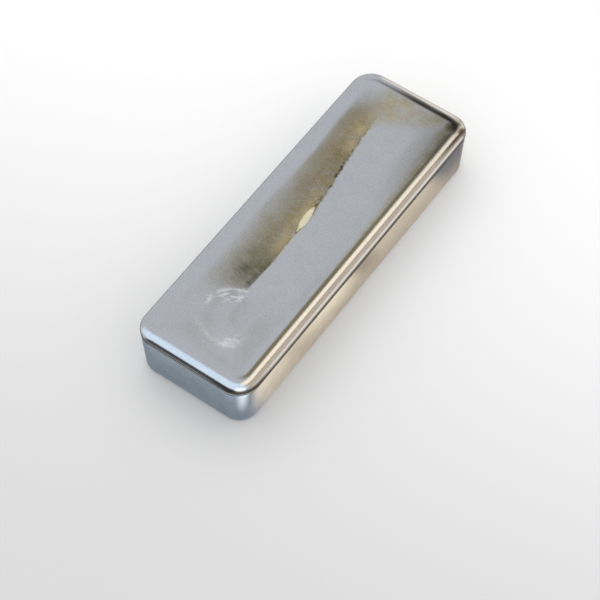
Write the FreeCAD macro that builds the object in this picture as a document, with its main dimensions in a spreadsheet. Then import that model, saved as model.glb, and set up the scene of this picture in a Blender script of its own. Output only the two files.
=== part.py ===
"""A one kilogram indium ingot, cast in an open mould.

The bar is one piece of metal.  Its four sides take the draft of the mould, so the ingot is wider at the top
than at the base, and its upright corners are round.  Surface tension rounds the shoulder of the melt all the
way round the top, and shrinkage leaves a shallow dish inside it that is deepest along the middle of the bar.

Frame: millimetres, +Z up, +Y along the bar, +X across it.  The origin is the middle of the base.
"""

import FreeCAD
import Part
import os

import Sketcher

NODE = "ingot"

# Driving dimensions in millimetres, and the draft in degrees.  The shoulder is the round edge that the melt
# draws up inside the mould: it starts where the drafted wall ends and runs in to the crest.
DIMENSIONS = {
    "shoulder_length": 140.0,
    "shoulder_width": 47.2,
    "height": 22.1,
    "draft": 3.0,
    "shoulder_corner": 8.2,
    "shoulder_run": 4.8,
    "shoulder_rise": 2.3,
    "base_edge_radius": 1.8,
}

# The shoulder is a quarter of an oval, cut at these angles from the wall to the crest.
SHOULDER_ANGLES = (0, 12, 26, 42, 62, 90)

# The dish as contour lines.  Each has its inset from the shoulder's outline, its depth below the crest and the
# radius of its corners.
DISH_CONTOURS = (
    {"inset": 4.8, "depth": 0.0, "corner": 5.0},
    {"inset": 5.6, "depth": 0.02, "corner": 4.9},
    {"inset": 7.0, "depth": 0.10, "corner": 4.7},
    {"inset": 10.0, "depth": 0.32, "corner": 4.4},
    {"inset": 15.0, "depth": 0.67, "corner": 3.6},
    {"inset": 21.5, "depth": 1.12, "corner": 1.8},
)


def make_sheet(doc):
    """Puts the driving dimensions in a spreadsheet, one alias to a cell."""
    sheet = doc.addObject("Spreadsheet::Sheet", "Dimensions")
    row = 1
    values = dict(DIMENSIONS)
    for number, contour in enumerate(DISH_CONTOURS):
        for key, value in contour.items():
            values[f"dish_{key}_{number}"] = value
    for alias, value in values.items():
        sheet.set(f"A{row}", alias)
        sheet.set(f"B{row}", str(value))
        sheet.setAlias(f"B{row}", alias)
        row += 1
    doc.recompute()
    return sheet


def origin_plane(body, role):
    """The body's own origin plane of that role."""
    return next(f for f in body.Origin.OriginFeatures if f.Role == role)


def rounded_rectangle(body, name, length, width, radius, level):
    """A sketch on a level plane of the body: a rounded rectangle about the Z axis.

    length (along Y), width (along X), radius and level are expressions on the sheet.
    """
    sketch = body.newObject("Sketcher::SketchObject", name)
    sketch.AttachmentSupport = (origin_plane(body, "XY_Plane"), [""])
    sketch.MapMode = "FlatFace"
    sketch.setExpression("AttachmentOffset.Base.z", level)

    # A first shape near the final one, which the constraints then size.
    half_x, half_y, corner = 20.0, 60.0, 1.0
    point = FreeCAD.Vector
    up = point(0, 0, 1)
    sides = (
        (point(-half_x + corner, -half_y, 0), point(half_x - corner, -half_y, 0)),
        (point(half_x, -half_y + corner, 0), point(half_x, half_y - corner, 0)),
        (point(half_x - corner, half_y, 0), point(-half_x + corner, half_y, 0)),
        (point(-half_x, half_y - corner, 0), point(-half_x, -half_y + corner, 0)),
    )
    centres = (
        point(half_x - corner, -half_y + corner, 0),
        point(half_x - corner, half_y - corner, 0),
        point(-half_x + corner, half_y - corner, 0),
        point(-half_x + corner, -half_y + corner, 0),
    )
    lines = [sketch.addGeometry(Part.LineSegment(a, b), False) for a, b in sides]
    arcs = []
    for turn, centre in enumerate(centres):
        start = (turn - 1) * 0.5 * 3.141592653589793
        circle = Part.Circle(centre, up, corner)
        arcs.append(sketch.addGeometry(Part.ArcOfCircle(circle, start, start + 0.5 * 3.141592653589793), False))

    add = sketch.addConstraint
    for turn in range(4):
        add(Sketcher.Constraint("Tangent", lines[turn], 2, arcs[turn], 1))
        add(Sketcher.Constraint("Tangent", arcs[turn], 2, lines[(turn + 1) % 4], 1))
    # Symmetry about the axes makes the first two sides square to them.
    horizontal_axis, vertical_axis = -1, -2
    add(Sketcher.Constraint("Symmetric", lines[0], 1, lines[0], 2, vertical_axis))
    add(Sketcher.Constraint("Symmetric", lines[1], 1, lines[1], 2, horizontal_axis))
    add(Sketcher.Constraint("Horizontal", lines[2]))
    add(Sketcher.Constraint("Vertical", lines[3]))
    for turn in (1, 2, 3):
        add(Sketcher.Constraint("Equal", arcs[0], arcs[turn]))
    width_at = add(Sketcher.Constraint("DistanceX", lines[3], 1, lines[1], 1, 2 * half_x))
    length_at = add(Sketcher.Constraint("DistanceY", lines[0], 1, lines[2], 1, 2 * half_y))
    radius_at = add(Sketcher.Constraint("Radius", arcs[0], corner))
    sketch.setExpression(f"Constraints[{length_at}]", length)
    sketch.setExpression(f"Constraints[{width_at}]", width)
    sketch.setExpression(f"Constraints[{radius_at}]", radius)
    return sketch


def cast_block(doc, body):
    """The drafted block up to the shoulder, wider at the top."""
    tall = "(Dimensions.height - Dimensions.shoulder_rise)"
    lean = f"{tall} * tan(Dimensions.draft)"
    outline = rounded_rectangle(
        body,
        "BaseOutline",
        f"Dimensions.shoulder_length - 2 * {lean}",
        f"Dimensions.shoulder_width - 2 * {lean}",
        f"Dimensions.shoulder_corner - {lean}",
        "0",
    )
    block = body.newObject("PartDesign::Pad", "Block")
    block.Profile = outline
    block.setExpression("Length", tall)
    block.setExpression("TaperAngle", "Dimensions.draft")
    doc.recompute()
    return block


def cast_shoulder(doc, body):
    """The rounded shoulder on top of the block, lofted through level sections of its oval."""
    sections = []
    for number, angle in enumerate(SHOULDER_ANGLES):
        inset = f"Dimensions.shoulder_run * (1 - cos({angle} deg))"
        sections.append(
            rounded_rectangle(
                body,
                f"ShoulderSection{number}",
                f"Dimensions.shoulder_length - 2 * {inset}",
                f"Dimensions.shoulder_width - 2 * {inset}",
                f"Dimensions.shoulder_corner - 0.667 * {inset}",
                f"Dimensions.height - Dimensions.shoulder_rise * (1 - sin({angle} deg))",
            )
        )
    shoulder = body.newObject("PartDesign::AdditiveLoft", "Shoulder")
    shoulder.Profile = sections[0]
    shoulder.Sections = sections[1:]
    shoulder.Ruled = True
    doc.recompute()
    return shoulder


def edge_loop(shape, level):
    """The names of the edges that lie wholly at that height."""
    return [
        f"Edge{i + 1}"
        for i, edge in enumerate(shape.Edges)
        if abs(edge.BoundBox.ZMin - level) < 1e-4 and abs(edge.BoundBox.ZMax - level) < 1e-4
    ]


def round_edges(doc, body, base, name, level, radius):
    """Rounds the loop of edges at a level of the base feature."""
    fillet = body.newObject("PartDesign::Fillet", name)
    fillet.Base = (base, edge_loop(base.Shape, level))
    fillet.setExpression("Radius", f"Dimensions.{radius}")
    doc.recompute()
    return fillet


def cut_dish(doc, body):
    """The shrinkage dish, lofted through its contour lines."""
    sections = []
    for number in range(len(DISH_CONTOURS)):
        inset = f"2 * Dimensions.dish_inset_{number}"
        sections.append(
            rounded_rectangle(
                body,
                f"DishContour{number}",
                f"Dimensions.shoulder_length - {inset}",
                f"Dimensions.shoulder_width - {inset}",
                f"Dimensions.dish_corner_{number}",
                f"Dimensions.height - Dimensions.dish_depth_{number}",
            )
        )
    dish = body.newObject("PartDesign::SubtractiveLoft", "Dish")
    dish.Profile = sections[0]
    dish.Sections = sections[1:]
    dish.Ruled = True
    doc.recompute()
    return dish


def check(doc, body, block_volume):
    """Stops the script if a feature failed, or if the shoulder and the dish don't add up."""
    for item in doc.Objects:
        if {"Invalid", "Error"} & set(item.State):
            raise RuntimeError(f"{item.Name} is {item.State}")
    shape = body.Shape
    if shape.isNull() or not shape.isValid() or len(shape.Solids) != 1:
        raise RuntimeError("the ingot isn't one valid solid")
    if not 1.0 * block_volume < shape.Volume < 1.1 * block_volume:
        raise RuntimeError("the shoulder or the dish isn't as it should be")


def main():
    doc = FreeCAD.newDocument("IndiumIngot")
    make_sheet(doc)
    body = doc.addObject("PartDesign::Body", "Ingot")
    body.Label = NODE
    block = cast_block(doc, body)
    block_volume = block.Shape.Volume
    round_edges(doc, body, block, "BaseEdge", 0.0, "base_edge_radius")
    cast_shoulder(doc, body)
    cut_dish(doc, body)
    check(doc, body, block_volume)
    body.Placement = FreeCAD.Placement()
    box = body.Shape.BoundBox
    print(f"{NODE}: {box.XLength:.2f} x {box.YLength:.2f} x {box.ZLength:.2f} mm, {body.Shape.Volume / 1000:.2f} cm3")
    os.makedirs("parts", exist_ok=True)
    body.Shape.exportStep(os.path.join("parts", f"{NODE}.step"))


main()
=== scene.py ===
"""An indium ingot, cast in an open mould, lying on a pale table under soft studio light.

Lengths are in metres, and in millimetres where a class says so.
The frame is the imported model's: +Z up, +Y along the bar, +X across it, origin in the middle of the base.
"""

import logging
import math
from dataclasses import dataclass, field
from enum import Enum, IntEnum
from typing import TypeAlias

import bpy
import numpy as np
from mathutils import Matrix, Vector

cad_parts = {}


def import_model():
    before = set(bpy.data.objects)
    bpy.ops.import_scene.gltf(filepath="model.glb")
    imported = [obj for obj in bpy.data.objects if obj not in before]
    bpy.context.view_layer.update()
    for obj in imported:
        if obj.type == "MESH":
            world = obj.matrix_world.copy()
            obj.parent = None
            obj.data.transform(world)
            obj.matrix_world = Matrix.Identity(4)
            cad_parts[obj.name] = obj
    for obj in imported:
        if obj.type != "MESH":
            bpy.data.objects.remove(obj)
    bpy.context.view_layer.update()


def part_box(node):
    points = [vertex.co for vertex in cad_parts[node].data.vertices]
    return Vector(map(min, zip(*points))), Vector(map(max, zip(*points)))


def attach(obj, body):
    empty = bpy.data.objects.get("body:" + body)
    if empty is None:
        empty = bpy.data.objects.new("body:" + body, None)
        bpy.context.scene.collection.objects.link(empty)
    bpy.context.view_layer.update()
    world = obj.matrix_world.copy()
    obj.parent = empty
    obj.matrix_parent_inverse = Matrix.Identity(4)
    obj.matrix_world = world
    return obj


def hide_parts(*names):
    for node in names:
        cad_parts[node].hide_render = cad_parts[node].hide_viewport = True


LOG = logging.getLogger("ingot")
MM = 0.001
Array: TypeAlias = np.ndarray
Socket: TypeAlias = bpy.types.NodeSocket
Colour: TypeAlias = tuple[float, float, float]
Value: TypeAlias = "Signal | Socket | Colour | float"


# ---- Shader building ----


class Signal:
    """A single value in a shader, whose arithmetic adds Math nodes."""

    def __init__(self, book: "NodeBook", socket: Socket) -> None:
        """Wraps the output socket of one of the book's nodes."""
        self.book = book
        self.socket = socket

    def compute(self, operation: str, *others: Value, clamp: bool = False) -> "Signal":
        """Adds one Math node, with this signal as its first value.

        Args:
            operation: The Math node's operation.
            others: Its other values, as numbers or signals.
            clamp: Whether the result is kept between 0 and 1.

        Returns:
            The result as a signal.
        """
        sockets = dict(enumerate((self, *others)))
        node = self.book.node("ShaderNodeMath", {"operation": operation, "use_clamp": clamp}, sockets)
        return Signal(self.book, node.outputs[0])

    def __add__(self, other: Value) -> "Signal":
        """The sum."""
        return self.compute("ADD", other)

    __radd__ = __add__

    def __sub__(self, other: Value) -> "Signal":
        """The difference."""
        return self.compute("SUBTRACT", other)

    def __rsub__(self, other: Value) -> "Signal":
        """The difference, from the right."""
        node = self.book.node("ShaderNodeMath", {"operation": "SUBTRACT"}, {0: other, 1: self})
        return Signal(self.book, node.outputs[0])

    def __mul__(self, other: Value) -> "Signal":
        """The product."""
        return self.compute("MULTIPLY", other)

    __rmul__ = __mul__

    def __truediv__(self, other: Value) -> "Signal":
        """The quotient."""
        return self.compute("DIVIDE", other)

    def __pow__(self, other: Value) -> "Signal":
        """The power."""
        return self.compute("POWER", other)

    def rise(self, low: Value, high: Value) -> "Signal":
        """A smooth step.

        Args:
            low: The value where the result leaves 0.
            high: The value where it reaches 1.

        Returns:
            The step as a signal between 0 and 1.
        """
        node = self.book.node(
            "ShaderNodeMapRange",
            {"interpolation_type": "SMOOTHSTEP", "clamp": True},
            {"Value": self, "From Min": low, "From Max": high, "To Min": 0.0, "To Max": 1.0},
        )
        return Signal(self.book, node.outputs["Result"])

    def clamped(self) -> "Signal":
        """The value kept between 0 and 1."""
        return self.compute("ADD", 0.0, clamp=True)


class NodeBook:
    """Adds nodes to one tree."""

    # The places of the Mix node's colour sockets, which share their names with its other kinds.
    MIX_FACTOR, MIX_A, MIX_B, MIX_COLOUR = 0, 6, 7, 2

    def __init__(self, tree: bpy.types.NodeTree) -> None:
        """Empties the node tree of a material or of the world."""
        self.tree = tree
        tree.nodes.clear()

    def node(self, kind: str, settings: dict | None = None, sockets: dict | None = None) -> bpy.types.Node:
        """Adds a node.

        Args:
            kind: The node's type.
            settings: Its properties, which are set first.
            sockets: The value, signal or socket for each of its inputs, by name or number.

        Returns:
            The node.
        """
        node = self.tree.nodes.new(kind)
        for name, value in (settings or {}).items():
            setattr(node, name, value)
        for name, value in (sockets or {}).items():
            self.plug(node.inputs[name], value)
        return node

    def plug(self, socket: Socket, value: Value) -> None:
        """Sets or links an input.

        Args:
            socket: The input.
            value: A signal or socket to link, or a number, colour or vector to set.
        """
        if isinstance(value, Signal):
            self.tree.links.new(value.socket, socket)
        elif isinstance(value, Socket):
            self.tree.links.new(value, socket)
        elif socket.type == "RGBA" and len(value) == 3:
            socket.default_value = (*value, 1.0)
        else:
            socket.default_value = value

    def attribute(self, name: str) -> Signal:
        """A value stored on the mesh's points."""
        return Signal(self, self.node("ShaderNodeAttribute", {"attribute_name": name}).outputs["Fac"])

    def position(self) -> Socket:
        """The point's place in the object's own frame."""
        return self.node("ShaderNodeTexCoord").outputs["Object"]

    def scaled(self, vector: Socket, scale: Colour) -> Socket:
        """Multiplies a vector by a factor on each axis."""
        return self.node("ShaderNodeVectorMath", {"operation": "MULTIPLY"}, {0: vector, 1: scale}).outputs[0]

    def split(self, vector: Socket) -> tuple[Signal, Signal, Signal]:
        """The three parts of a vector."""
        node = self.node("ShaderNodeSeparateXYZ", None, {0: vector})
        return tuple(Signal(self, output) for output in node.outputs)

    def noise(self, vector: Socket, scale: float, detail: float, rough: float) -> Signal:
        """Smooth noise about 0.5.

        Args:
            vector: Where the noise is read.
            scale: Its features to the metre.
            detail: The number of finer layers.
            rough: How strong each finer layer is.

        Returns:
            The noise as a signal.
        """
        sockets = {"Vector": vector, "Scale": scale, "Detail": detail, "Roughness": rough}
        return Signal(self, self.node("ShaderNodeTexNoise", None, sockets).outputs[0])

    def background(self, colour: Value, strength: float = 1.0) -> Socket:
        """The light of a world in one colour."""
        return self.node("ShaderNodeBackground", None, {"Color": colour, "Strength": strength}).outputs[0]

    def choose(self, factor: Value, first: Value, second: Value) -> Socket:
        """Mixes two shaders, by how much of the second shows."""
        return self.node("ShaderNodeMixShader", None, {0: factor, 1: first, 2: second}).outputs[0]

    def mix(self, factor: Value, under: Value, over: Value) -> Socket:
        """Mixes two colours.

        Args:
            factor: How much of the second colour shows.
            under: The first colour.
            over: The second colour.

        Returns:
            The colour's socket.
        """
        sockets = {self.MIX_FACTOR: factor, self.MIX_A: under, self.MIX_B: over}
        node = self.node("ShaderNodeMix", {"data_type": "RGBA", "clamp_factor": True}, sockets)
        return node.outputs[self.MIX_COLOUR]


@dataclass(frozen=True)
class SoftPatch:
    """An oval patch of colour with a soft edge, on a plane of two coordinates.

    The edge is the share of the oval's size over which the patch fades.
    """

    centre: tuple[float, float]
    half: tuple[float, float]
    edge: float
    colour: Colour

    def paint(self, book: NodeBook, u: Signal, v: Signal, under: Value) -> Socket:
        """Paints the patch over a colour.

        Args:
            book: The book of the tree that is painted in.
            u: The first coordinate.
            v: The second coordinate.
            under: The colour underneath.

        Returns:
            The painted colour's socket.
        """
        along, across = (u - self.centre[0]) / self.half[0], (v - self.centre[1]) / self.half[1]
        reach = (along * along + across * across) ** 0.5
        cover = 1.0 - reach.rise(1.0 - self.edge, 1.0 + self.edge)
        return book.mix(cover, under, self.colour)


# ---- Noise and soft shapes ----


def ease(share: Array) -> Array:
    """Rounds off both ends of a straight rise from 0 to 1."""
    return share * share * (3.0 - 2.0 * share)


def rise(value: Array, low: float, high: float) -> Array:
    """A smooth step on an array.

    Args:
        value: The values.
        low: Where the result leaves 0.
        high: Where it reaches 1.

    Returns:
        The step, between 0 and 1.
    """
    return ease(np.clip((value - low) / (high - low), 0.0, 1.0))


def span(value: Array, start: float, full: float, hold: float, end: float) -> Array:
    """A smooth plateau on an array.

    Args:
        value: The values.
        start: Where the result leaves 0.
        full: Where it reaches 1.
        hold: Where it leaves 1 again.
        end: Where it is back at 0.

    Returns:
        The plateau, between 0 and 1.
    """
    return rise(value, start, full) * (1.0 - rise(value, hold, end))


def hump(value: Array, middle: float, half: float, power: int = 2) -> Array:
    """A soft hump on an array.

    Args:
        value: The values.
        middle: Where the hump is 1.
        half: How far from there it has fallen to about a third.
        power: An even number, higher for a flatter top.

    Returns:
        The hump, between 0 and 1.
    """
    return np.exp(-(((value - middle) / half) ** power))


@dataclass(frozen=True)
class Spot:
    """A soft oval spot on the top of the bar.  Lengths in millimetres."""

    x: float
    y: float
    half_x: float
    half_y: float
    power: int = 2

    def cover(self, x: Array, y: Array) -> Array:
        """How much of the spot shows at each point."""
        return hump(x, self.x, self.half_x, self.power) * hump(y, self.y, self.half_y, self.power)


class Seed(IntEnum):
    """The seed of each layer of noise in the relief and the stains."""

    SWELL = 3
    RIPPLE = 4
    TORN = 5
    PUCKER = 6
    SEAM = 11
    FLAKE = 21
    RING = 31
    CRINKLE = 32
    RING_RIPPLE = 33
    RING_PATCHES = 34
    FROST_PATCH = 35
    RING_THREADS = 36
    FROST_GRAIN = 37
    CLOUD = 41
    SPECKS = 42
    THREADS = 43


@dataclass
class Grain:
    """Seeded lattice noise between -1 and 1, the same on every run."""

    seed: Seed
    size: int = 64
    layer_shift: tuple[float, float] = (7.3, 3.1)

    def __post_init__(self) -> None:
        """Draws the lattice."""
        self.lattice = np.random.RandomState(int(self.seed)).uniform(-1.0, 1.0, (self.size, self.size))

    def corner(self, row: Array, column: Array) -> Array:
        """The lattice's values at whole steps, which repeat past its edge."""
        return self.lattice[row % self.size, column % self.size]

    def read(self, u: Array, v: Array) -> Array:
        """Reads the noise at points given in lattice steps.

        Args:
            u: The points' first coordinates.
            v: Their second coordinates.

        Returns:
            The noise at each point.
        """
        row, column = np.floor(u).astype(int), np.floor(v).astype(int)
        across, along = ease(u - row), ease(v - column)
        low = self.corner(row, column) * (1.0 - across) + self.corner(row + 1, column) * across
        high = self.corner(row, column + 1) * (1.0 - across) + self.corner(row + 1, column + 1) * across
        return low * (1.0 - along) + high * along

    def layered(self, u: Array, v: Array, layers: int = 3) -> Array:
        """Sums finer and fainter layers of the noise.

        Args:
            u: The points' first coordinates in lattice steps.
            v: Their second coordinates.
            layers: The number of layers.

        Returns:
            The sum, between about -1 and 1.
        """
        total, weight, scale, share = 0.0, 0.0, 1.0, 1.0
        for layer in range(layers):
            shift_u, shift_v = (shift * layer for shift in self.layer_shift)
            total = total + share * self.read(u * scale + shift_u, v * scale + shift_v)
            weight += share
            scale, share = scale * 2.0, share * 0.5
        return total / weight


# ---- The surface: relief, stains, painted reflections and painted shade ----


@dataclass
class Seam:
    """The ragged line where the two sides of the dish met as the metal shrank.  Lengths in millimetres."""

    start: float = -36.0
    end: float = 50.0
    stations: tuple[float, ...] = (-70.0, -36.0, -20.0, -8.0, 0.0, 10.0, 20.0, 30.0, 40.0, 50.0, 70.0)
    offsets: tuple[float, ...] = (0.0, -1.0, -0.6, -1.2, -0.6, -1.8, -3.0, -4.4, -5.4, -6.0, -6.5)
    rag: float = 0.45
    coarse_rag: float = 6.0
    fine_rag: float = 1.3

    def path(self, y: Array) -> Array:
        """The seam's sideways place.

        Args:
            y: Places along the bar.

        Returns:
            The seam's x at each of them.
        """
        grain = Grain(Seed.SEAM)
        coarse = grain.layered(y / self.coarse_rag, np.full_like(y, 2.5), 2)
        fine = grain.layered(y / self.fine_rag, np.full_like(y, 9.5), 3)
        ragged = span(y, self.start, self.start + 30.0, self.end - 4.0, self.end + 10.0)
        return np.interp(y, self.stations, self.offsets) + self.rag * (coarse + fine) * ragged

    def reach(self, y: Array) -> Array:
        """How marked the seam is at places along the bar, from 0 to 1."""
        return span(y, self.start, self.start + 14.0, self.end - 8.0, self.end + 6.0)


class Mask(Enum):
    """The values stored on the ingot's points for its finish."""

    # Brown film, partly painted reflection of the warm room.
    FILM_AND_REFLECTION = "film_and_reflection"
    # A darker grey-green patch by the start of the seam.
    SMOKE = "grey_green"
    # Painted dark reflection along the rim, in the far right corner and at the near foot.
    PAINTED_DARK_REFLECTION = "painted_dark_reflection"
    FROST = "frost"
    OXIDE = "oxide"
    GOLD = "gold"
    CRUMB = "crumb_and_groove_shade"
    DISH = "dish"
    WALL = "wall"
    # Painted shade in the groove under the shoulder.
    GROOVE_SHADE = "groove_shade"


@dataclass(frozen=True)
class Feature:
    """A detail of the surface: how much of it shows, how far it is lifted, and the dark line round it."""

    cover: Array
    lift: Array
    line: Array | float = 0.0


@dataclass
class Surface:
    """The relief, the stains, the painted reflections and the painted shade at each point of the bar's mesh.
    Lengths in millimetres.
    """

    ingot: "Ingot"
    points: Array
    inset: Array
    seam: Seam = field(default_factory=Seam)
    spoon_lift: float = 0.72
    flake_middle: tuple[float, float] = (-1.9, 1.5)
    flake_half: tuple[float, float] = (1.22, 6.4)
    ring_middle: tuple[float, float] = (2.0, -46.0)
    ring_radius: float = 11.3
    frost_middle: tuple[float, float] = (6.6, -54.4)
    frost_half: tuple[float, float] = (4.8, 2.4)
    grey_green_spot: Spot = Spot(-5.0, -26.0, 4.6, 9.0)
    threads_above: Spot = Spot(-3.4, 9.0, 2.2, 3.4)
    threads_below: Spot = Spot(-1.9, -6.2, 1.3, 2.6)
    # Spots of painted dark reflection in the far right corner.
    far_corner_reflection: Spot = Spot(18.0, 63.6, 3.2, 4.4)
    far_corner_reflection_spot: Spot = Spot(21.5, 64.2, 1.3, 1.9, 4)

    def __post_init__(self) -> None:
        """Works out what the relief, the stains and the painted reflections share."""
        self.x, self.y, height = self.points[:, 0], self.points[:, 1], self.points[:, 2]
        self.above_foot = height - self.ingot.shoulder_foot
        self.below_crest = self.ingot.height - height
        self.seam_x = self.seam.path(self.y)
        self.away = self.x - self.seam_x
        self.top = self.above_foot > 0.0
        self.dish = rise(self.inset, 5.0, 8.5) * (height > 0.5 * self.ingot.height)
        self.rim = rise(self.inset, 4.2, 5.6) * self.top
        self.cloudy = self.noise(Seed.CLOUD, 3.0, 4.0)
        dx, dy = self.x - self.ring_middle[0], self.y - self.ring_middle[1]
        self.turn, self.reach = np.arctan2(dx, dy), np.hypot(dx, dy) / self.ring_radius
        self.wobble = 0.07 * Grain(Seed.RING).layered(self.turn * 2.6 + 20.0, self.reach * 3.0)
        self.flake = self.make_flake()
        self.frost = self.make_frost()

    def noise(self, seed: Seed, wide: float, long: float, layers: int = 3) -> Array:
        """Layered noise at each point, whose widest features have this width and length."""
        return Grain(seed).layered(self.x / wide, self.y / long, layers)

    def beside(self, distance: float, half: float) -> Array:
        """A soft strip along the seam, at a distance to its left."""
        return hump(self.away, -distance, half)

    def relief(self) -> Array:
        """How far each point is lifted.

        Returns:
            The lift at each point.
        """
        spoon = self.below_crest * self.spoon_lift * (1.0 - rise(self.y, -62.0, -16.0))
        inside = self.top * (self.inset > self.ingot.shoulder_run)
        detail = self.valley() + self.ripples() + self.torn_edge() + self.flake.lift + self.frost.lift
        return spoon * inside + self.dish * detail

    def valley(self) -> Array:
        """The change that turns the dish's straight valley into one that follows the seam.

        Returns:
            The lift at each point.
        """
        slope = math.tan(math.radians(self.ingot.slope_angles[-1]))
        fold = self.x - self.seam_x * span(self.y, -64.0, -40.0, 46.0, 64.0)
        softness = 0.2 + 8.0 * (1.0 - span(self.y, -44.0, -32.0, 44.0, 56.0))
        from_middle = 0.5 * self.ingot.width - self.inset
        return slope * (np.hypot(fold, softness) - from_middle) * (1.0 - rise(from_middle, 8.0, 17.0))

    def ripples(self) -> Array:
        """A slow swell and fine ripples, as the metal froze."""
        swell = 0.07 * Grain(Seed.SWELL).layered(self.x / 17.0 + 5.0, self.y / 23.0, 2)
        return swell + 0.012 * self.noise(Seed.RIPPLE, 3.5, 2.2)

    def torn_edge(self) -> Array:
        """The torn metal of the seam and the puckered strip to its left.

        Returns:
            The lift at each point.
        """
        reach = self.seam.reach(self.y)
        left_side = rise(-self.away, -0.6, 0.6) * hump(self.away, 0.0, 5.0) * reach
        torn = 0.09 * self.noise(Seed.TORN, 0.9, 1.1) * hump(self.away, 0.0, 1.1) * reach
        return torn + 0.03 * self.noise(Seed.PUCKER, 1.6, 1.0) * left_side

    def make_flake(self) -> Feature:
        """The pale flake beside the seam, halfway along the bar.

        Returns:
            The flake's cover, its lift and the dark line round it.
        """
        middle_x, middle_y = self.flake_middle
        half_wide, half_long = self.flake_half
        along = self.y - middle_y
        across = self.x - (middle_x - 0.08 * along)
        half = half_wide * (1.0 - 0.45 * rise(np.abs(along), 1.5, 6.5))
        wobble = 0.16 * self.noise(Seed.FLAKE, 1.5, 1.5, 2)
        reach = np.sqrt((across / half) ** 2 + (along / half_long) ** 2) + wobble
        cover = 1.0 - rise(reach, 0.85, 1.02)
        line = hump(reach, 1.13, 0.13) * (0.55 + 0.45 * rise(np.abs(along), 2.5, 6.0))
        return Feature(cover, 0.06 * line - 0.10 * cover, line)

    def make_frost(self) -> Feature:
        """The frost near the near end, where the surface froze last.

        Returns:
            The frost's cover and its lift.
        """
        parts = (self.open_ring(), self.crinkles(), self.frost_patch())
        cover = np.clip(sum(part.cover for part in parts), 0.0, 1.0)
        return Feature(cover, sum(part.lift for part in parts))

    def open_ring(self) -> Feature:
        """The broken ring of frost, open on its right.

        Returns:
            The ring's cover and its lift.
        """
        patchy = rise(self.noise(Seed.RING_PATCHES, 2.6, 2.6), -0.35, 0.45)
        threads = rise(Grain(Seed.RING_THREADS).layered(self.reach * 26.0, self.turn * 4.0), -0.25, 0.35)
        band = hump(self.reach + self.wobble, 1.0, 0.12) * (0.12 + 0.88 * patchy) * (0.3 + 0.7 * threads)
        strong_side = 0.45 + 0.55 * rise(np.cos(self.turn + math.radians(30.0)), -0.2, 0.9)
        open_side = rise(np.cos(self.turn - math.radians(62.0)), 0.10, 0.55)
        ring = band * strong_side * (1.0 - open_side)
        return Feature(ring, ring * (0.008 + 0.02 * self.noise(Seed.RING_RIPPLE, 0.9, 0.9, 2)))

    def crinkles(self) -> Feature:
        """The crinkled skin inside the far left of the ring.

        Returns:
            The crinkles' cover and their lift.
        """
        left, far = self.ring_middle[0] - self.x, self.y - self.ring_middle[1]
        place = rise(far, 0.5, 6.0) * rise(left, -1.0, 3.5) * span(self.reach, 0.35, 0.7, 0.95, 1.15)
        lines = Grain(Seed.CRINKLE).layered(self.reach * 15.0 + 0.8 * self.wobble, self.turn * 3.0 + 9.0)
        return Feature(place * rise(lines, 0.0, 0.3), 0.05 * place * lines)

    def frost_patch(self) -> Feature:
        """The slanting patch of frost at the ring's near end.

        Returns:
            The patch's cover and its lift.
        """
        dx, dy = self.x - self.frost_middle[0], self.y - self.frost_middle[1]
        along, across = dx * 0.6 + dy * 0.8, dx * 0.8 - dy * 0.6
        grainy = rise(self.noise(Seed.FROST_GRAIN, 0.9, 0.9), -0.3, 0.4)
        oval = hump(along, 0.0, self.frost_half[0]) * hump(across, 0.0, self.frost_half[1])
        patch = oval * (0.25 + 0.75 * grainy)
        return Feature(0.95 * patch, 0.03 * patch * self.noise(Seed.FROST_PATCH, 0.8, 0.8, 2))

    def far_film(self) -> Array:
        """The film's thin cloud over the far end."""
        slant = self.y - 0.55 * (self.x + 6.0)
        return rise(slant, 46.0, 53.0) * rise(self.x, -14.0, -6.0) * (0.7 + 0.6 * self.cloudy)

    def film_and_reflection(self) -> Array:
        """The brown film, partly painted reflection of the warm room, left of the seam, over the far end and
        in a comb along the right crest.

        Returns:
            The strength of the film and its painted reflection at each point.
        """
        left = rise(-self.away, -0.15, 0.25) * (1.0 - rise(-self.away, 1.0, 14.5))
        length = rise(self.y, -40.0, -22.0) * (1.0 - rise(self.y - 0.4 * self.x, 50.0, 66.0))
        beside_seam = left * length * (0.92 + 0.35 * self.cloudy)
        crest = rise(self.x + 0.04 * (self.y - 20.0) + 0.5 * self.cloudy, 15.4, 18.8)
        comb = 0.8 * crest * rise(self.y, -50.0, 25.0)
        over_rim = np.maximum(0.72 * self.far_film(), comb) * self.rim
        return np.maximum(beside_seam * self.dish, over_rim)

    def gold(self) -> Array:
        """The golden parts of the film: along the seam, in two stretches, and at the far end.

        Returns:
            The gold's strength at each point.
        """
        near = 0.6 * self.beside(2.4, 2.6) * span(self.y, -24.0, -12.0, 12.0, 22.0) * (0.8 + self.cloudy)
        tan = 0.75 * self.beside(2.4, 2.2) * span(self.y, 31.0, 36.0, 44.0, 56.0) * (0.9 + self.cloudy)
        far = self.far_film() * (0.25 + 0.3 * (1.0 - rise(self.x, -2.0, 6.0)))
        return np.clip(near + tan + far, 0.0, 1.0)

    def grey_green(self) -> Array:
        """The darker grey-green patch where the seam starts, with a tail along it.

        Returns:
            The patch's strength at each point.
        """
        left = rise(-self.away, -0.1, 0.3)
        cloud = self.grey_green_spot.cover(self.away, self.y) * (0.85 + 0.6 * self.cloudy)
        tail = 0.8 * self.beside(0.9, 1.2) * span(self.y, -37.0, -31.0, -22.0, -12.0)
        return np.clip((cloud + tail) * left, 0.0, 1.0)

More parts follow.
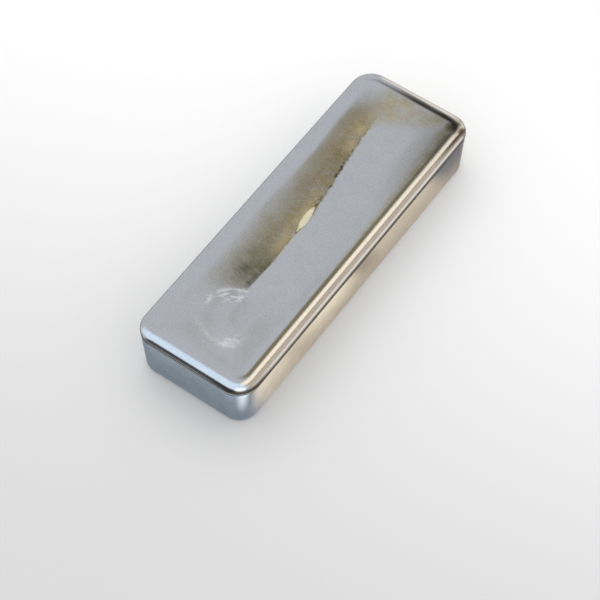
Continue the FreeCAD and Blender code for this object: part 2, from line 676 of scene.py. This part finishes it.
    def painted_dark_reflection(self) -> Array:
        """The painted dark reflection in the far right corner, along the right crest and far rim, and at the
        near foot.

        Returns:
            The painted dark reflection's strength at each point.
        """
        x, y = self.x, self.y
        # Every part is painted dark reflection: along the right rim and crest, the far rim, the far right
        # corner and the near foot.
        side = 0.62 * hump(x, 19.5, 6.5) * rise(y, 20.0, 66.0) * self.rim
        far_side = 0.341 * hump(x, 19.0, 11.0) * rise(y, 44.0, 62.0) * self.rim
        fringe = (0.62 + 0.3 * self.cloudy) * hump(x, 18.5, 1.9) * rise(y, 16.0, 56.0)
        outer = 0.95 * hump(x, 21.9, 0.6) * span(y, 44.0, 60.0, 67.6, 69.0)
        corner = np.maximum(self.far_corner_reflection.cover(x, y), self.far_corner_reflection_spot.cover(x, y))
        dark_reflections = 0.95 * np.maximum.reduce((corner, fringe, outer)) * self.top
        rim_line = 0.92 * hump(y + 0.02 * (x - 20.0), 65.9, 1.3, 4) * span(x, -16.0, 4.0, 19.0, 21.5)
        foot = 0.9 * hump(self.above_foot, 0.4, 0.75, 4) * rise(x - y, 74.0, 88.0)
        return np.maximum.reduce((side, far_side, dark_reflections, rim_line, foot))

    def crumbs(self) -> Array:
        """The dark crumbs and threads of the torn seam, and the line round the flake.

        Returns:
            The crumbs' strength at each point.
        """
        strip = 0.6 * self.beside(1.5, 1.5) * span(self.y, 12.0, 18.0, 30.0, 38.0)
        above = 1.3 * self.threads_above.cover(self.x, self.y)
        below = 0.9 * self.threads_below.cover(self.x, self.y)
        threads = hump(self.noise(Seed.THREADS, 1.5, 1.5), 0.0, 0.085)
        loops = threads * np.clip(above + below + strip, 0.0, 1.0) * rise(-self.away, -0.3, 0.1)
        specks = rise(self.noise(Seed.SPECKS, 0.7, 0.9, 2), 0.0, 0.35)
        torn = self.beside(0.3, 0.65) * span(self.y, 3.0, 12.0, 34.0, 50.0) * (0.35 + 0.65 * specks)
        loose = 0.6 * self.beside(1.6, 1.3) * span(self.y, 8.0, 14.0, 30.0, 40.0) * specks
        return np.clip(torn + loose + 0.85 * self.flake.line + 0.75 * loops, 0.0, 1.0)

    def masks(self) -> dict[Mask, Array]:
        """The values that place the finish's details.

        Returns:
            Each mask's value at each point.
        """
        return {
            Mask.FILM_AND_REFLECTION: self.film_and_reflection(),
            Mask.SMOKE: self.grey_green() * self.dish,
            Mask.PAINTED_DARK_REFLECTION: self.painted_dark_reflection(),
            Mask.FROST: self.frost.cover * self.dish,
            Mask.OXIDE: self.flake.cover * self.dish,
            Mask.GOLD: self.gold() * self.dish,
            Mask.CRUMB: self.crumbs() * self.dish,
            Mask.DISH: self.dish,
            Mask.WALL: (self.above_foot < 0.0) * 1.0,
            Mask.GROOVE_SHADE: hump(self.above_foot, 0.05 * self.ingot.groove_width, 0.6, 4),
        }


# ---- The bar ----


@dataclass(frozen=True)
class Ring:
    """One level rounded rectangle of the mesh.  Lengths in millimetres."""

    inset: float
    height: float
    corner: float


@dataclass
class Ingot:
    """The cast bar.  Lengths in millimetres, slopes in degrees.

    The slopes are those of the dish, at insets from the bar's widest outline.
    """

    node: str = "ingot"
    draft: float = 3.0
    shoulder_run: float = 5.3
    shoulder_rise: float = 2.3
    groove_depth: float = 0.22
    groove_width: float = 1.1
    base_radius: float = 1.8
    mouth_corner: float = 8.2
    corner_insets: tuple[float, ...] = (4.8, 7.0, 10.0, 15.0, 24.0)
    corner_radii: tuple[float, ...] = (5.0, 4.7, 4.4, 3.6, 0.1)
    slope_insets: tuple[float, ...] = (5.3, 6.5, 9.0, 12.0, 16.0, 23.0)
    slope_angles: tuple[float, ...] = (0.0, 1.0, 2.6, 4.0, 4.4, 3.8)
    crest_width: float = 2.7
    middle_gap: float = 0.12
    long_points: int = 248
    short_points: int = 56
    corner_points: int = 24
    base_steps: int = 7
    wall_steps: int = 12
    groove_steps: int = 6
    rim_steps: int = 26
    crest_steps: int = 16
    dish_steps: int = 53
    slope_parts: int = 8

    def __post_init__(self) -> None:
        """Takes the bar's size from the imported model."""
        low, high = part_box(self.node)
        self.length = (high[1] - low[1]) / MM
        self.width = (high[0] - low[0]) / MM
        self.height = (high[2] - low[2]) / MM
        self.lean = math.tan(math.radians(self.draft))
        self.shoulder_foot = self.height - self.shoulder_rise
        self.groove_foot = self.shoulder_foot - self.groove_width

    def wall_inset(self, height: float) -> float:
        """The wall's distance inside the bar's widest outline at a height."""
        return (self.shoulder_foot - height) * self.lean

    def wall_ring(self, height: float, deeper: float = 0.0) -> Ring:
        """The ring of the wall at a height, set deeper where the groove is."""
        inset = self.wall_inset(height) + deeper
        return Ring(inset, height, self.mouth_corner - inset)

    def top_ring(self, inset: float, height: float) -> Ring:
        """The ring of the top at an inset, whose corner shrinks more slowly deep in the dish."""
        insets, radii = (0.0, *self.corner_insets), (self.mouth_corner, *self.corner_radii)
        return Ring(inset, height, float(np.interp(inset, insets, radii)))

    def profile(self) -> list[Ring]:
        """The rings from the middle of the base, up the wall and over the rim to the middle of the dish."""
        return self.base_profile() + self.wall_profile() + self.rim_profile() + self.dish_profile()

    def base_profile(self) -> list[Ring]:
        """The rings of the flat base and of its rounded edge.

        Returns:
            The rings in order.
        """
        half = 0.5 * self.width
        edge = self.wall_inset(self.base_radius) + self.base_radius
        flat = (half - 0.2, half - 8.0, edge + 3.0, edge)
        rings = [Ring(inset, 0.0, max(0.1, self.mouth_corner - inset)) for inset in flat]
        for step in range(1, self.base_steps + 1):
            turn = math.radians((90.0 - self.draft) * step / self.base_steps)
            inset = edge - self.base_radius * math.sin(turn)
            height = self.base_radius * (1.0 - math.cos(turn))
            rings.append(Ring(inset, height, self.mouth_corner - inset))
        return rings

    def wall_profile(self) -> list[Ring]:
        """The rings of the drafted wall and of the groove under the shoulder.

        Returns:
            The rings in order.
        """
        rings = []
        for step in range(1, self.wall_steps + 1):
            share = step / self.wall_steps
            rings.append(self.wall_ring(self.base_radius + (self.groove_foot - self.base_radius) * share))
        for step in range(1, self.groove_steps):
            share = step / self.groove_steps
            deeper = self.groove_depth * math.sin(math.pi * share) ** 2
            rings.append(self.wall_ring(self.groove_foot + self.groove_width * share, deeper))
        return rings

    def rim_profile(self) -> list[Ring]:
        """The rings of the rounded shoulder, from its foot to its crest.

        Returns:
            The rings in order.
        """
        rings = []
        for step in range(self.rim_steps + 1):
            turn = math.radians(90.0 * step / self.rim_steps)
            inset = self.shoulder_run * (1.0 - math.cos(turn))
            height = self.height - self.shoulder_rise * (1.0 - math.sin(turn))
            rings.append(self.top_ring(inset, height))
        return rings

    def dish_profile(self) -> list[Ring]:
        """The rings from the rim's crest to the middle of the dish.

        Returns:
            The rings in order.
        """
        crest, middle = self.shoulder_run, 0.5 * self.width - self.middle_gap
        near_crest = np.linspace(crest, crest + self.crest_width, self.crest_steps + 1)[1:]
        inner = np.linspace(crest + self.crest_width, middle, self.dish_steps + 1)[1:]
        rings, height, last = [], self.height, crest
        for inset in np.concatenate((near_crest, inner)):
            parts = np.linspace(last, inset, self.slope_parts + 1)
            angles = np.interp(0.5 * (parts[1:] + parts[:-1]), self.slope_insets, self.slope_angles)
            height -= float(np.sum(np.tan(np.radians(angles))) * (inset - last) / self.slope_parts)
            rings.append(self.top_ring(float(inset), height))
            last = inset
        return rings

    def outline(self, ring: Ring) -> Array:
        """The points of a ring, anticlockwise from the near end of the right side.

        Args:
            ring: The ring.

        Returns:
            An array of x and y.
        """
        half_x, half_y = 0.5 * self.width - ring.inset, 0.5 * self.length - ring.inset
        corner = min(ring.corner, 0.95 * half_x)
        centre_x, centre_y = half_x - corner, half_y - corner
        along = (np.arange(self.long_points) + 0.5) / self.long_points * 2.0 - 1.0
        across = (np.arange(self.short_points) + 0.5) / self.short_points * 2.0 - 1.0
        turn = (np.arange(self.corner_points) + 0.5) / self.corner_points * 0.5 * math.pi
        arc = corner * np.stack([np.cos(turn), np.sin(turn)], 1)
        arc_turned = corner * np.stack([-np.sin(turn), np.cos(turn)], 1)
        side = np.stack([np.full_like(along, half_x), centre_y * along], 1)
        end = np.stack([-centre_x * across, np.full_like(across, half_y)], 1)
        right_far, left_far = np.array([centre_x, centre_y]), np.array([-centre_x, centre_y])
        half_outline = np.concatenate((side, right_far + arc, end, left_far + arc_turned))
        return np.concatenate((half_outline, -half_outline))

    def strip(self, count: int) -> tuple[Array, Array]:
        """The order in which a ring's right half and left half face each other.

        Args:
            count: The points in the ring.

        Returns:
            The point numbers of the right half from near to far, and their partners on the left.
        """
        near_middle = count - self.corner_points - self.short_points // 2
        steps = np.arange(count // 2)
        return (near_middle + steps) % count, (near_middle - 1 - steps) % count

    def faces(self, rings: int, count: int) -> Array:
        """The four-sided faces between the rings and across the two middle strips.

        Args:
            rings: The number of rings.
            count: The points in each.

        Returns:
            The faces as rows of point numbers.
        """
        here = np.arange(count)
        after = (here + 1) % count
        band = np.stack([here, after, after + count, here + count], 1)
        bands = [row * count + band for row in range(rings - 1)]
        right, left = self.strip(count)
        top = (rings - 1) * count
        above = top + np.stack([right[:-1], right[1:], left[1:], left[:-1]], 1)
        below = np.stack([right[:-1], left[:-1], left[1:], right[1:]], 1)
        return np.concatenate(bands + [above, below])

    def build(self) -> bpy.types.Object:
        """Builds the bar as one closed mesh and gives it its place in the model.

        Returns:
            The ingot.
        """
        rings = self.profile()
        outlines = [self.outline(ring) for ring in rings]
        count = len(outlines[0])
        heights = np.repeat([ring.height for ring in rings], count)
        insets = np.repeat([ring.inset for ring in rings], count)
        points = np.column_stack([np.concatenate(outlines), heights])
        surface = Surface(self, points.copy(), insets)
        points[:, 2] = np.minimum(heights + surface.relief(), self.height)
        mesh = bpy.data.meshes.new(f"{self.node}_cast")
        mesh.from_pydata((points * MM).tolist(), [], self.faces(len(rings), count).tolist())
        for mask, values in surface.masks().items():
            layer = mesh.attributes.new(mask.value, "FLOAT", "POINT")
            layer.data.foreach_set("value", values.astype(np.float32))
        mesh.shade_smooth()
        mesh.validate()
        piece = bpy.data.objects.new(f"{self.node}_cast", mesh)
        bpy.context.scene.collection.objects.link(piece)
        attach(piece, "root")
        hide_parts(self.node)
        return piece


# ---- The finish ----


class Texture(Enum):
    """The fine textures that every part of the finish is varied by."""

    CLOUD = "cloud"
    STREAK = "streak"
    SPECKLE = "speckle"
    HATCH = "hatch"


class Layers:
    """The masks and the textures that the finish is mixed from."""

    def __init__(self, book: NodeBook) -> None:
        """Adds the masks and the textures to a material.

        Args:
            book: The material's node book.
        """
        place = book.position()
        fine_streaks = book.scaled(place, (260.0, 1100.0, 260.0))
        fine_hatching = book.scaled(place, (900.0, 2600.0, 900.0))
        self.mask = {mask: book.attribute(mask.value) for mask in Mask}
        self.texture = {
            Texture.CLOUD: book.noise(place, 160.0, 4.0, 0.55) - 0.5,
            Texture.STREAK: book.noise(fine_streaks, 1.0, 4.0, 0.6) - 0.5,
            Texture.SPECKLE: book.noise(place, 2400.0, 3.0, 0.6) - 0.5,
            Texture.HATCH: book.noise(fine_hatching, 1.0, 2.0, 0.5) - 0.5,
        }

    def vary(self, base: Value, **weights: Value) -> Signal:
        """Adds the textures to a value.

        Args:
            base: The value.
            weights: How much of each texture is added, by the texture's name.

        Returns:
            The varied value.
        """
        total = base
        for name, weight in weights.items():
            total = self.texture[Texture(name)] * weight + total
        return total


@dataclass(frozen=True)
class CastIndium:
    """The ingot's finish: bright as-cast metal with a thin brown film that is partly painted reflection of
    the warm room, frost, a little yellow oxide, painted dark reflections, and painted shade in the groove.
    """

    silver: Colour = (0.84, 0.85, 0.87)
    silver_dim: Colour = (0.73, 0.74, 0.76)
    # Brown film, partly painted reflection of the warm room.
    film_and_reflection: Colour = (0.60, 0.52, 0.32)
    # Darker grey-green by the start of the seam.
    grey_green: Colour = (0.24, 0.25, 0.22)
    # Painted dark reflection.
    painted_dark_reflection: Colour = (0.09, 0.08, 0.05)
    gold: Colour = (0.74, 0.62, 0.38)
    oxide: Colour = (0.78, 0.74, 0.57)
    oxide_dim: Colour = (0.62, 0.57, 0.36)
    frost: Colour = (0.90, 0.93, 1.00)
    # Near-black for the crumbs, and for the painted shade in the groove.
    crumb_and_groove_shade: Colour = (0.085, 0.065, 0.035)
    smooth: float = 0.065
    dull: float = 0.22
    bump_strength: float = 0.35
    bump_height: float = 0.00006

    def dress(self, piece: bpy.types.Object) -> None:
        """Gives the ingot its material.

        Args:
            piece: The ingot.
        """
        material = bpy.data.materials.new("cast_indium")
        material.use_nodes = True
        book = NodeBook(material.node_tree)
        layers = Layers(book)
        sockets = {
            "Base Color": self.colour(book, layers),
            "Metallic": self.metallic(layers),
            "Roughness": self.roughness(layers),
            "Normal": self.bump(book, layers),
        }
        shader = book.node("ShaderNodeBsdfPrincipled", None, sockets)
        book.node("ShaderNodeOutputMaterial", None, {"Surface": shader.outputs[0]})
        piece.data.materials.append(material)

    def colour(self, book: NodeBook, layers: Layers) -> Socket:
        """Lays the colours over each other, from the clean metal up.

        Args:
            book: The material's node book.
            layers: Its masks and textures.

        Returns:
            The colour's socket.
        """
        mask, vary = layers.mask, layers.vary
        mottle = vary(0.6, cloud=0.8 + mask[Mask.WALL] * 2.5, speckle=3.6, hatch=1.6).clamped()
        colour = book.mix(mottle, self.silver_dim, self.silver)
        # The brown film, partly painted reflection of the warm room.
        film_and_reflection_cover = mask[Mask.FILM_AND_REFLECTION] * vary(0.88, cloud=1.5, streak=1.2, hatch=2.4, speckle=3.2)
        colour = book.mix(film_and_reflection_cover.clamped(), colour, self.film_and_reflection)
        greyed = mask[Mask.SMOKE] * vary(0.7, streak=1.4)
        colour = book.mix(greyed.clamped(), colour, self.grey_green)
        # Painted dark reflection along the rim, in the far right corner and at the near foot.
        colour = book.mix(mask[Mask.PAINTED_DARK_REFLECTION] * vary(1.0, cloud=0.5), colour, self.painted_dark_reflection)
        gilded = mask[Mask.GOLD] * vary(0.75, cloud=0.8, speckle=0.8)
        colour = book.mix(gilded.clamped(), colour, self.gold)
        colour = book.mix(mask[Mask.FROST] * 0.7, colour, self.frost)
        chalk = book.mix(vary(0.5, cloud=2.0, speckle=2.0).clamped(), self.oxide_dim, self.oxide)
        colour = book.mix(mask[Mask.OXIDE], colour, chalk)
        colour = book.mix(mask[Mask.CRUMB], colour, self.crumb_and_groove_shade)
        # Painted shade in the groove under the shoulder.
        return book.mix(mask[Mask.GROOVE_SHADE] * 0.9, colour, self.crumb_and_groove_shade)

    def metallic(self, layers: Layers) -> Signal:
        """How metallic each place is: less so where something covers the metal, and in the groove, where
        shade is painted.

        Args:
            layers: The material's masks and textures.

        Returns:
            The value as a signal.
        """
        mask = layers.mask
        covered_and_shaded = mask[Mask.OXIDE] * 0.75 + mask[Mask.CRUMB] * 0.6 + mask[Mask.GROOVE_SHADE] * 0.5
        return (1.0 - covered_and_shaded - mask[Mask.GOLD] * 0.18 - mask[Mask.FROST] * 0.22).clamped()

    def roughness(self, layers: Layers) -> Signal:
        """How rough each place is, from the mirror-like shoulder to the dull dish.

        Args:
            layers: The material's masks and textures.

        Returns:
            The value as a signal.
        """
        mask = layers.mask
        dish = mask[Mask.DISH]
        rough = layers.vary(self.smooth, cloud=0.22 - dish * 0.12, speckle=0.06)
        rough = rough + dish * (self.dull - self.smooth) + mask[Mask.WALL] * 0.06 - mask[Mask.FILM_AND_REFLECTION] * 0.05
        rough = rough + mask[Mask.FROST] * 0.22 + mask[Mask.OXIDE] * 0.15 + mask[Mask.GOLD] * 0.10
        return (rough + mask[Mask.GROOVE_SHADE] * 0.3).clamped()

    def bump(self, book: NodeBook, layers: Layers) -> Socket:
        """The finest grain of the surface, stronger on the film and the frost.

        Args:
            book: The material's node book.
            layers: Its masks and textures.

        Returns:
            The normal's socket.
        """
        mask = layers.mask
        film_and_reflection = mask[Mask.FILM_AND_REFLECTION]
        brushed = (0.4 + film_and_reflection) * mask[Mask.DISH]
        gritty = 0.5 + film_and_reflection * 0.8 + mask[Mask.FROST] * 1.2
        grain = layers.vary(0.0, streak=brushed, hatch=brushed, speckle=gritty)
        sockets = {"Strength": self.bump_strength, "Distance": self.bump_height, "Height": grain}
        return book.node("ShaderNodeBump", None, sockets).outputs[0]


# ---- Studio ----


@dataclass
class Studio:
    """The soft room round the ingot: pale to the eye, and greyer with a few soft cards in the metal."""

    seen: Colour = (0.97, 0.97, 0.97)
    fill: Colour = (1.0, 1.0, 1.0)
    fill_strength: float = 0.93
    room: Colour = (0.51, 0.53, 0.56)
    cards: tuple[SoftPatch, ...] = (
        # Brown ceiling, in the left side of the dish.
        SoftPatch((-0.165, 0.44), (0.105, 0.15), 0.42, (0.22, 0.185, 0.10)),
        # Dark far wall, in the far shoulder.
        SoftPatch((0.08, 0.68), (0.44, 0.100), 0.40, (0.13, 0.11, 0.08)),
        # Cream line behind it.
        SoftPatch((0.06, 0.93), (0.42, 0.115), 0.24, (0.98, 0.88, 0.74)),
        # Warm window on the right, with bright and dim bars.
        SoftPatch((0.50, 0.45), (0.44, 0.62), 0.16, (0.62, 0.54, 0.45)),
        SoftPatch((0.085, 0.42), (0.115, 0.62), 0.40, (1.16, 1.02, 0.82)),
        SoftPatch((0.27, 0.45), (0.055, 0.60), 0.50, (0.46, 0.40, 0.30)),
        SoftPatch((0.46, 0.45), (0.025, 0.60), 0.50, (0.40, 0.34, 0.27)),
        SoftPatch((0.77, 0.45), (0.080, 0.60), 0.50, (0.97, 0.88, 0.78)),
        # Cool window in front.
        SoftPatch((-0.15, -0.225), (0.80, 0.285), 0.28, (0.76, 0.90, 1.04)),
        # Dark line below it.
        SoftPatch((-0.25, -0.82), (0.60, 0.26), 0.26, (0.07, 0.07, 0.08)),
        # White lamp off the near right corner.
        SoftPatch((0.40, -0.40), (0.27, 0.25), 0.30, (1.45, 1.50, 1.56)),
    )
    key_power: float = 1.2
    key_size: float = 0.9
    key_place: tuple[float, float, float] = (-0.35, 0.25, 0.85)

    def build(self) -> None:
        """Builds the world and the key lamp."""
        world = bpy.data.worlds.new("soft_room")
        world.use_nodes = True
        bpy.context.scene.world = world
        book = NodeBook(world.node_tree)
        east, north, _ = book.split(book.node("ShaderNodeTexCoord").outputs["Generated"])
        seen_in_metal = self.room
        for card in self.cards:
            seen_in_metal = card.paint(book, east, north, seen_in_metal)
        rays = book.node("ShaderNodeLightPath").outputs
        fill = book.background(self.fill, self.fill_strength)
        lit = book.choose(rays["Is Glossy Ray"], fill, book.background(seen_in_metal))
        shown = book.choose(rays["Is Camera Ray"], lit, book.background(self.seen))
        book.node("ShaderNodeOutputWorld", None, {"Surface": shown})
        self.hang_key()

    def hang_key(self) -> None:
        """Hangs one wide lamp, up and to the left, which only softens the shadow."""
        data = bpy.data.lights.new("key", "AREA")
        data.shape = "DISK"
        data.size = self.key_size
        data.energy = self.key_power
        lamp = bpy.data.objects.new("key", data)
        lamp.location = self.key_place
        lamp.rotation_euler = (-lamp.location).to_track_quat("-Z", "Y").to_euler()
        lamp.visible_glossy = False
        bpy.context.scene.collection.objects.link(lamp)


@dataclass
class Table:
    """The pale paper that the ingot lies on, with painted shade that makes it darker toward the viewer.
    Lengths in metres.

    The patches are painted glow, seen only in the metal as painted reflections.
    """

    half: float = 3.0
    near_tone: float = 0.715
    far_tone: float = 0.985
    near_place: float = -0.172
    far_place: float = 0.10
    shade_turn: float = 35.0
    right_share: float = 0.42
    fibre_tone: Colour = (0.5, 0.5, 0.5)
    fibre_share: float = 0.10
    painted_glow_in_metal: Colour = (0.50, 0.51, 0.53)
    patches: tuple[SoftPatch, ...] = (
        # Painted warm reflection beside the right wall, with pale and dim places along it.
        SoftPatch((0.044, 0.0), (0.040, 0.085), 0.40, (0.70, 0.60, 0.46)),
        SoftPatch((0.034, -0.012), (0.016, 0.014), 0.60, (1.01, 0.89, 0.67)),
        SoftPatch((0.034, -0.050), (0.016, 0.012), 0.60, (0.90, 0.79, 0.62)),
        SoftPatch((0.034, 0.010), (0.014, 0.006), 0.60, (0.40, 0.33, 0.25)),
        SoftPatch((0.034, 0.066), (0.020, 0.012), 0.50, (0.20, 0.20, 0.215)),
        SoftPatch((0.0215, 0.0), (0.0045, 0.080), 0.80, (0.50, 0.43, 0.34)),
        # Painted cream reflection beyond the far end.
        SoftPatch((0.0, 0.150), (0.090, 0.055), 0.30, (0.80, 0.72, 0.62)),
        # Painted dim reflection on the left.
        SoftPatch((-0.060, 0.02), (0.032, 0.110), 0.40, (0.17, 0.17, 0.19)),
        # Painted cool reflection in front of the near end, with painted shade at the foot.
        SoftPatch((0.0, -0.088), (0.050, 0.030), 0.40, (0.44, 0.50, 0.58)),
        SoftPatch((0.0, -0.0690), (0.050, 0.0090), 0.80, (0.22, 0.26, 0.30)),
        # Painted dark reflection farther out, seen in the steep foot of the shoulder.
        SoftPatch((0.0, -0.096), (0.090, 0.013), 0.30, (0.035, 0.035, 0.040)),
        SoftPatch((0.052, 0.0), (0.016, 0.120), 0.30, (0.070, 0.060, 0.050)),
        # Painted highlight off the near right corner.
        SoftPatch((0.032, -0.074), (0.008, 0.006), 0.60, (1.00, 1.05, 1.12)),
    )

    def build(self) -> None:
        """Lays the table."""
        mesh = bpy.data.meshes.new("table")
        low, high = -self.half, self.half
        corners = [(low, low, 0.0), (high, low, 0.0), (high, high, 0.0), (low, high, 0.0)]
        mesh.from_pydata(corners, [], [(0, 1, 2, 3)])
        mesh.materials.append(self.paper_and_painted_light())
        table = bpy.data.objects.new("table", mesh)
        bpy.context.scene.collection.objects.link(table)

    def paper_and_painted_light(self) -> bpy.types.Material:
        """The table's material: matte paper with painted shade to the eye, and the patches of painted glow
        to the metal.

        Returns:
            The material.
        """
        material = bpy.data.materials.new("paper_and_painted_light")
        material.use_nodes = True
        book = NodeBook(material.node_tree)
        place = book.position()
        x, y, _ = book.split(place)
        turn = math.radians(self.shade_turn)
        away = y * math.cos(turn) - x * math.sin(turn)
        right = x * math.cos(turn) + y * math.sin(turn)
        # Painted shade: the paper is darker toward the viewer and to the left.
        painted_light_share = (away + right * self.right_share).rise(self.near_place, self.far_place)
        colour = book.mix(painted_light_share, (self.near_tone,) * 3, (self.far_tone,) * 3)
        fibre = book.noise(place, 900.0, 4.0, 0.6) - 0.5
        colour = book.mix(fibre * self.fibre_share, colour, self.fibre_tone)
        matte = book.node("ShaderNodeBsdfDiffuse", None, {"Color": colour}).outputs[0]
        # Painted glow, seen only in the metal as the room's reflection.
        seen = self.painted_glow_in_metal
        for patch in self.patches:
            seen = patch.paint(book, x, y, seen)
        mirrored = book.node("ShaderNodeEmission", None, {"Color": seen, "Strength": 1.0}).outputs[0]
        glossy = book.node("ShaderNodeLightPath").outputs["Is Glossy Ray"]
        book.node("ShaderNodeOutputMaterial", None, {"Surface": book.choose(glossy, matte, mirrored)})
        return material


@dataclass
class Viewpoint:
    """The camera.  Lengths in metres, the sensor's and the lens's in millimetres, angles in degrees."""

    turn: float = 35.3
    lift: float = 57.0
    distance: float = 0.728
    across: float = -0.0028
    up: float = -0.0148
    sensor: float = 36.0
    lens: float = 123.3
    nearest: float = 0.01

    def build(self) -> None:
        """Sets the camera up and makes it the scene's."""
        turn, lift = math.radians(self.turn), math.radians(self.lift)
        back = Vector((math.sin(turn) * math.cos(lift), -math.cos(turn) * math.cos(lift), math.sin(lift)))
        right = Vector((0.0, 0.0, 1.0)).cross(back).normalized()
        upward = back.cross(right)
        place = back * self.distance + right * self.across + upward * self.up
        data = bpy.data.cameras.new("camera")
        data.sensor_width = self.sensor
        data.lens = self.lens
        data.clip_start = self.nearest
        camera = bpy.data.objects.new("camera", data)
        camera.matrix_world = Matrix.Translation(place) @ Matrix((right, upward, back)).transposed().to_4x4()
        bpy.context.scene.collection.objects.link(camera)
        bpy.context.scene.camera = camera


def main() -> None:
    """Builds the ingot, its table, the studio and the camera."""
    logging.basicConfig(level=logging.INFO, format="%(name)s: %(message)s")
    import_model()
    bpy.context.scene.view_settings.view_transform = "Standard"
    ingot = Ingot().build()
    CastIndium().dress(ingot)
    LOG.info("%s: %d points, %d faces", ingot.name, len(ingot.data.vertices), len(ingot.data.polygons))
    Table().build()
    Studio().build()
    Viewpoint().build()


if __name__ == "__main__":
    main()
